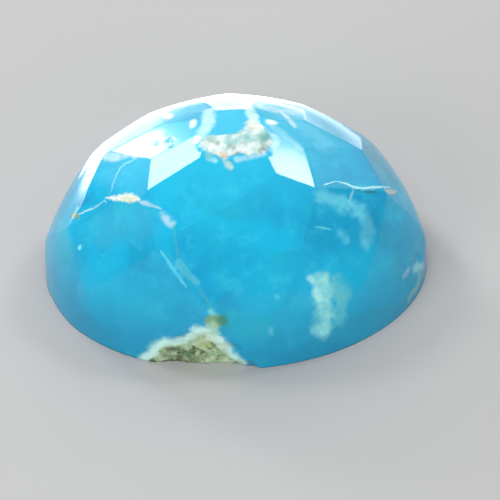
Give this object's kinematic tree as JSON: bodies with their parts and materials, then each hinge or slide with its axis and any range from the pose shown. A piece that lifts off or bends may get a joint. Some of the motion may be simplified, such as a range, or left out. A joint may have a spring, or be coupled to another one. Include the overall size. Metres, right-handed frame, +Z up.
{
  "type": "faceted turquoise gemstone",
  "caption": "Oval domed turquoise, cut with rounded flats over a flat back, with brown and grey matrix veins, a pitted crown patch and a hollow of natural skin low on the front.",
  "frame": {"origin": "centre of the stone's oval outline, on its flat back", "axes": "+X along the oval's length, -Y towards the front with the hollow of natural skin, +Z up through the dome"},
  "size_m": [0.01, 0.008, 0.005],
  "materials": {
    "turquoise": "polished sky-blue turquoise with brown, cream and grey matrix"
  },
  "bodies": {
    "root": {"turquoise_stone": "turquoise"}
  },
  "joints": []
}
